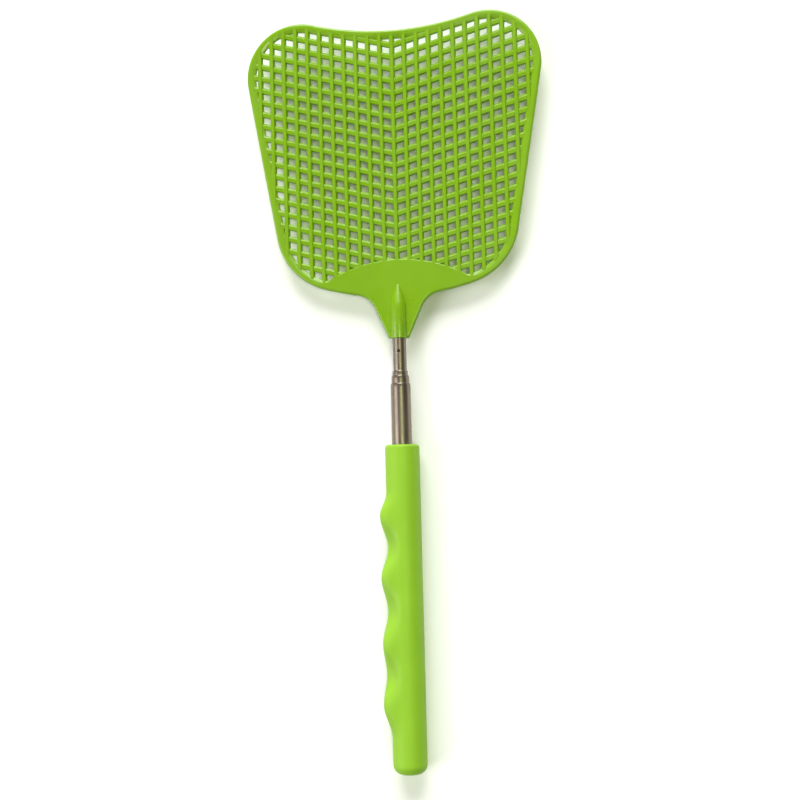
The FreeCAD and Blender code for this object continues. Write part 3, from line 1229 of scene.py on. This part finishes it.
    def ribs(self, name: str, finish: Material, sizes: dict[str, float]) -> Piece:
        """Make the ribs as one plain mesh.

        Args:
            name: The mesh's name.
            finish: Their material.
            sizes: Every size of the tree by name, lengths in millimetres.

        Returns:
            The ribs.
        """
        piece = mesh_piece(name, [], [])
        step = piece.modifiers.new("ribs", "NODES")
        step.node_group = self.tree
        for socket in self.tree.interface.items_tree:
            if socket.name in sizes:
                unit = 1 if socket.name in self.PLAIN else MM
                step[socket.identifier] = sizes[socket.name] * unit
            elif socket.name == "Finish":
                step[socket.identifier] = finish
        made_plain(piece)
        face_outwards(piece)
        return piece


@dataclass
class Head:
    """The one-piece head: rim and fan plate, ribs in both directions, and the pointed barrel."""

    finish: Material
    blade: Blade
    half_thickness: float = 1.0
    back_rounding: float = 0.4
    front_rounding: float = 0.9
    rib_pitch: float = 4.63
    row_pitch: float = 4.6
    rib_width: float = 2.0
    row_width: float = 2.3
    row_length: float = 124.0
    chevron_angle: float = 15.1
    top_rib_below: float = 10.8
    rib_foot: float = 2.0
    rim_overlap: float = 1.55
    fan_overlap: float = 0.9
    trim_reach: float = 3.0
    fan_half_width: float = 27.0
    fan_fade_end: float = 1.12
    fan_fade: float = 0.2
    barrel_radius: float = 3.1
    barrel_length: float = 12.3
    barrel_rounding: float = 0.3
    barrel_around: int = 72
    cone_steps: int = 14
    cone_bow: float = 1.1
    tip_end: float = 20.8
    tip_radius: Point = (0.9, 0.3)
    tip_length: float = 0.5
    bore_radius: float = 2.52
    bore_depth: float = 12.0
    bore_lead_in: float = 0.6
    bore_lead_in_depth: float = 0.12
    crease: float = 35.0

    # Rows from back to front: how far the window is let out along the rim and the depth there,
    # then the same two along the fan plate.
    WINDOW_EDGE = ((0.4, -1.0, 0.4, -1.0), (0.12, -0.9, 0.12, -0.9), (0.0, -0.65, 0.0, -0.65),
                   (0.0, 0.28, 0.0, 0.55), (0.1, 0.42, 0.06, 0.76), (0.35, 0.55, 0.16, 0.90),
                   (0.9, 0.75, 0.30, 0.97), (1.5, 1.0, 0.48, 1.0))
    RIB_SECTION = {"Front": 0.97, "Back": 0.93, "Rounding": 0.22, "Lean": 0.0, "Bevel Run": 0.45,
                   "Bevel Drop": 0.85, "Side Run": 0.45, "Side Drop": 0.85}
    ROW_SECTION = {"Front": 0.72, "Back": 0.86, "Rounding": 0.12, "Lean": 0.10, "Bevel Run": 0.80,
                   "Bevel Drop": 0.62, "Side Run": 0.12, "Side Drop": 0.3}

    def build(self) -> Piece:
        """Build the head over its CAD node.

        Returns:
            The finished piece.
        """
        self.start = span_of("swatter_head")[0]
        self.middle = axis_height()
        piece = self._frame_plate()
        combine(piece, self._ribs(), Join.ADD)
        combine(piece, self._barrel(), Join.ADD)
        combine(piece, self._bore(), Join.CUT)
        piece.name = piece.data.name = "head_body"
        face_outwards(piece, merge=0.002)
        smooth_but_for_edges(piece, self.crease)
        shade_flats_evenly(piece, self.half_thickness + 0.01)
        dress(piece, self.finish, Body.HEAD, "swatter_head")
        return piece

    def _loop(self, points: Iterable[Vector], depth: float) -> list[Spot]:
        """Place a flat loop in the row frame at a depth from the blade's middle."""
        return [(spot.x, self.start + spot.y, self.middle + depth) for spot in points]

    def _frame_plate(self) -> Piece:
        """Build the rim and fan plate, with every edge rounded and the rim falling to the mesh.

        Returns:
            The plate with its window.
        """
        half, blade = self.half_thickness, self.blade
        outer = [self._loop(blade.outline(inset), depth - half)
                 for inset, depth in reversed(rounding(self.back_rounding, 3))]
        outer += [self._loop(blade.outline(inset), half - depth)
                  for inset, depth in rounding(self.front_rounding, 6)]
        inner = [self._window_loop(*row) for row in self.WINDOW_EDGE]
        spots = [spot for ring in outer for spot in ring]
        faces = ring_faces(len(outer), len(outer[0]))
        shift = len(spots)
        spots += [spot for ring in inner for spot in ring]
        faces += [tuple(shift + index for index in reversed(face))
                  for face in ring_faces(len(inner), len(inner[0]))]
        for outside, inside, ring, hole in ((outer[0], inner[0], 0, 0),
                                            (outer[-1], inner[-1], len(outer) - 1, len(inner) - 1)):
            index = [ring * len(outside) + step for step in range(len(outside))]
            index += [shift + hole * len(inside) + step for step in range(len(inside))]
            loops = [[Vector((x, y, 0)) for x, y, _ in loop] for loop in (outside, inside)]
            faces += [tuple(index[corner] for corner in face)
                      for face in tessellate_polygon(loops)]
        return solid("frame_plate", spots, faces)

    def _window_loop(self, rim_grow: float, rim_depth: float, fan_grow: float,
                     fan_depth: float) -> list[Spot]:
        """Return one ring of the window's edge, gentle along the rim and crisp along the fan.

        Args:
            rim_grow: How far the ring is let out along the rim.
            rim_depth: Its depth there.
            fan_grow: How far it is let out along the fan plate.
            fan_depth: Its depth there.

        Returns:
            The ring's points.
        """
        ring = []
        for at_rim, at_fan in zip(self.blade.window(rim_grow), self.blade.window(fan_grow)):
            share = 0.0
            if at_rim.y < self.blade.fan_top + 1.0:
                away = abs(at_rim.x) / self.fan_half_width
                share = max(0.0, min(1.0, (self.fan_fade_end - away) / self.fan_fade))
            share = share * share * (3 - 2 * share)
            spot = at_rim.lerp(at_fan, share)
            depth = rim_depth + (fan_depth - rim_depth) * share
            ring.append((spot.x, self.start + spot.y, self.middle + depth))
        return ring

    def _ribs(self) -> Piece:
        """Build both sets of ribs and trim them to the middle of the rim.

        Returns:
            The ribs.
        """
        blade = self.blade
        columns = 2 * math.ceil((blade.lobe_offset + blade.lobe_radius) / self.rib_pitch) + 1
        top = blade.height - self.top_rib_below
        spare = 1
        upright = RibTree("upright_ribs", chevron=False).ribs("upright_ribs", self.finish, {
            **self.RIB_SECTION, "Pitch": self.rib_pitch, "Count": columns,
            "Length": blade.height, "Width": self.rib_width, "Rise": 0.0,
            "Middle": self.middle, "Start": self.start + self.rib_foot})
        cross = RibTree("cross_ribs", chevron=True).ribs("cross_ribs", self.finish, {
            **self.ROW_SECTION, "Pitch": self.row_pitch,
            "Count": math.ceil(top / self.row_pitch) + spare, "Length": self.row_length,
            "Width": self.row_width, "Rise": math.tan(math.radians(self.chevron_angle)),
            "Middle": self.middle, "Start": self.start + top + spare * self.row_pitch})
        combine(upright, cross, Join.ADD)
        combine(upright, self._trimmer(), Join.KEEP)
        return upright

    def _trimmer(self) -> Piece:
        """Build the thick plate, as large as the window and half the rim, that trims the ribs.

        Returns:
            The plate.
        """
        wide, tight = (self.blade.window(grow) for grow in (self.rim_overlap, self.fan_overlap))
        loop = [near if near.y > self.blade.fan_top else far for near, far in zip(wide, tight)]
        spots = self._loop(loop, -self.trim_reach) + self._loop(loop, self.trim_reach)
        faces = ring_faces(2, len(loop))
        flat = [[Vector((spot.x, spot.y, 0)) for spot in loop]]
        for lift in (0, len(loop)):
            faces += [tuple(lift + corner for corner in face) for face in tessellate_polygon(flat)]
        return solid("trimmer", spots, faces)

    def _barrel(self) -> Piece:
        """Build the round barrel with its pointed end.

        Returns:
            The barrel, without its bore.
        """
        section = [(self.barrel_radius - inset, self.start + depth)
                   for inset, depth in reversed(rounding(self.barrel_rounding, 4))]
        point, blunt = self.tip_radius
        for step in range(self.cone_steps + 1):
            share = step / self.cone_steps
            radius = self.barrel_radius - (self.barrel_radius - point) * share ** self.cone_bow
            section.append((radius, self.start + self.barrel_length
                            + share * (self.tip_end - self.barrel_length)))
        section.append((blunt, section[-1][1] + self.tip_length))
        return turned("barrel", section, self.barrel_around)

    def _bore(self) -> Piece:
        """Build the drill that cuts the socket, with a small lead-in.

        Returns:
            The drill.
        """
        lead = self.bore_lead_in
        section = [(self.bore_radius + lead, self.start - lead),
                   (self.bore_radius, self.start + self.bore_lead_in_depth),
                   (self.bore_radius, self.start + self.bore_depth)]
        return turned("drill", section, self.barrel_around)


# --- floor, light and camera ---


def direction(azimuth: float, elevation: float) -> Vector:
    """Return the direction towards a turn and a height in degrees, 0 being -Y and level."""
    turn, lift = math.radians(azimuth), math.radians(elevation)
    return Vector((math.sin(turn) * math.cos(lift), -math.cos(turn) * math.cos(lift),
                   math.sin(lift)))


@dataclass(frozen=True)
class SoftBox:
    """A square softbox aimed at the middle of the object."""

    name: str
    azimuth: float
    elevation: float
    distance: float
    size: float
    watts: float
    tint: Colour = (1.0, 1.0, 1.0)

    def build(self, aim: Vector) -> None:
        """Build the light.

        Args:
            aim: The point that it faces.
        """
        lamp = bpy.data.lights.new(self.name, "AREA")
        lamp.shape = "SQUARE"
        lamp.size = self.size
        lamp.energy = self.watts
        lamp.color = self.tint
        light = placed(self.name, lamp)
        away = direction(self.azimuth, self.elevation)
        light.location = aim + away * self.distance
        light.rotation_euler = (-away).to_track_quat("-Z", "Y").to_euler()


@dataclass(frozen=True)
class ViewPoint:
    """Where the camera stands: a turn and a height round the point that it aims at."""

    lens: float = 60.0
    sensor: float = 36.0
    azimuth: float = 64.212
    elevation: float = 80.721
    roll: float = 1.515
    distance: float = 0.49356
    aim_offset: Spot = (-0.35, -4.45, 0.0)

    def build(self, centre: Vector) -> None:
        """Build the camera and make it the scene's.

        Args:
            centre: The middle of the object.
        """
        data = bpy.data.cameras.new("camera")
        data.lens = self.lens
        data.sensor_width = self.sensor
        data.clip_start, data.clip_end = 0.01, 20.0
        camera = placed("camera", data)
        back = direction(self.azimuth, self.elevation)
        upright = (Vector((0, 1, 0)) - back * back.y).normalized()
        roll = math.radians(self.roll)
        up = upright * math.cos(roll) + upright.cross(back) * math.sin(roll)
        right = up.cross(back)
        place = centre + Vector(self.aim_offset) * MM + back * self.distance
        rows = [(right[axis], up[axis], back[axis], place[axis]) for axis in range(3)]
        camera.matrix_world = Matrix((*rows, (0, 0, 0, 1)))
        bpy.context.scene.camera = camera


@dataclass
class Studio:
    """The pale floor, the soft light and the camera."""

    floor_size: float = 3.2
    floor_colour: Colour = (0.92, 0.92, 0.92)
    sky: float = 0.14
    boxes: tuple[SoftBox, ...] = (
        SoftBox("top_box", azimuth=180.0, elevation=30.0, distance=2.6, size=1.8, watts=102.0),
        SoftBox("left_box", azimuth=-75.0, elevation=36.0, distance=2.6, size=1.8, watts=46.0),
        SoftBox("front_fill", azimuth=64.0, elevation=75.0, distance=2.6, size=0.6, watts=21.0,
                tint=(0.88, 1.0, 0.58)),
    )

    def build(self, centre: Vector, floor_height: float) -> None:
        """Build the whole studio.

        Args:
            centre: The middle of the object.
            floor_height: Height of the floor in metres.
        """
        self._floor(floor_height / MM)
        for box in self.boxes:
            box.build(centre)
        self._world()
        ViewPoint().build(centre)

    def _floor(self, height: float) -> None:
        """Lay the floor at a height in millimetres.

        Args:
            height: The height.
        """
        half = self.floor_size / 2 / MM
        corners = [(x, y, height) for x, y in ((-half, -half), (half, -half), (half, half),
                                               (-half, half))]
        floor = mesh_piece("studio_floor", corners, [(0, 1, 2, 3)])
        sheet = Surface("pale_floor")
        paler = tuple(min(1.0, part + 0.01) for part in self.floor_colour)
        grain = sheet.noise(sheet.place, 4.0, 2.0, 0.5)
        floor.data.materials.append(sheet.shaded({
            "Base Color": sheet.blend(grain, self.floor_colour, paler),
            "Roughness": 0.9, "Specular IOR Level": 0.1}))

    def _world(self) -> None:
        """Light everything softly from all round, and show plain white behind the floor."""
        world = bpy.data.worlds.new("soft_sky")
        world.use_nodes = True
        back = world.node_tree.nodes["Background"]
        back.inputs["Color"].default_value = (1.0, 1.0, 1.0, 1.0)
        air = Sheet(world.node_tree)
        seen = air.add("ShaderNodeLightPath").outputs["Is Camera Ray"]
        air.feed(back.inputs["Strength"], air.sum("MAXIMUM", seen, self.sky))
        bpy.context.scene.world = world
        bpy.context.scene.view_settings.view_transform = "Standard"


# --- the whole object ---


def dress_leaves(finish: Material) -> list[str]:
    """Give the friction leaves, which stay as their CAD nodes, their finish.

    Args:
        finish: The leaves' material.

    Returns:
        The names of the leaves.
    """
    names = sorted(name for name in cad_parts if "_leaf_" in name)
    for name in names:
        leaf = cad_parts[name]
        leaf.data.materials.clear()
        leaf.data.materials.append(finish)
    return names


def report(piece: Piece) -> None:
    """Log a finished piece's name, faces and size."""
    size = [round(part / MM, 1) for part in piece.dimensions]
    log.info("%s: %d faces, %s mm", piece.name, len(piece.data.polygons), size)


def main() -> None:
    """Build the studio, the finishes and every piece."""
    logging.basicConfig(level=logging.INFO, format="%(name)s: %(message)s")
    low, high = CAD_BOX
    Studio().build((low + high) / 2, low.z)
    effects = SharedEffects()
    steel = TUBE_STEEL.build(effects)
    report(Grip(GRIP_GREEN.build(effects)).build())
    outer, second, third, inner = 3.7, 3.3, 2.9, 2.5
    tubes = (
        Tube("outer_sleeve", "outer_tube", Body.HANDLE, outer, guest_radius=second),
        Tube("second_sleeve", "second_tube", Body.SECOND, second, host_radius=outer,
             guest_radius=third),
        Tube("third_sleeve", "third_tube", Body.THIRD, third, host_radius=second,
             guest_radius=inner),
        Tube("inner_rod", "inner_tube", Body.HEAD, inner, host_radius=third, pierced=True),
    )
    for tube in tubes:
        report(tube.build(steel))
    report(Head(HEAD_GREEN.build(effects), Blade()).build())
    log.info("leaves: %s", ", ".join(dress_leaves(LEAF_BRONZE.build(effects))))


if __name__ == "__main__":
    main()
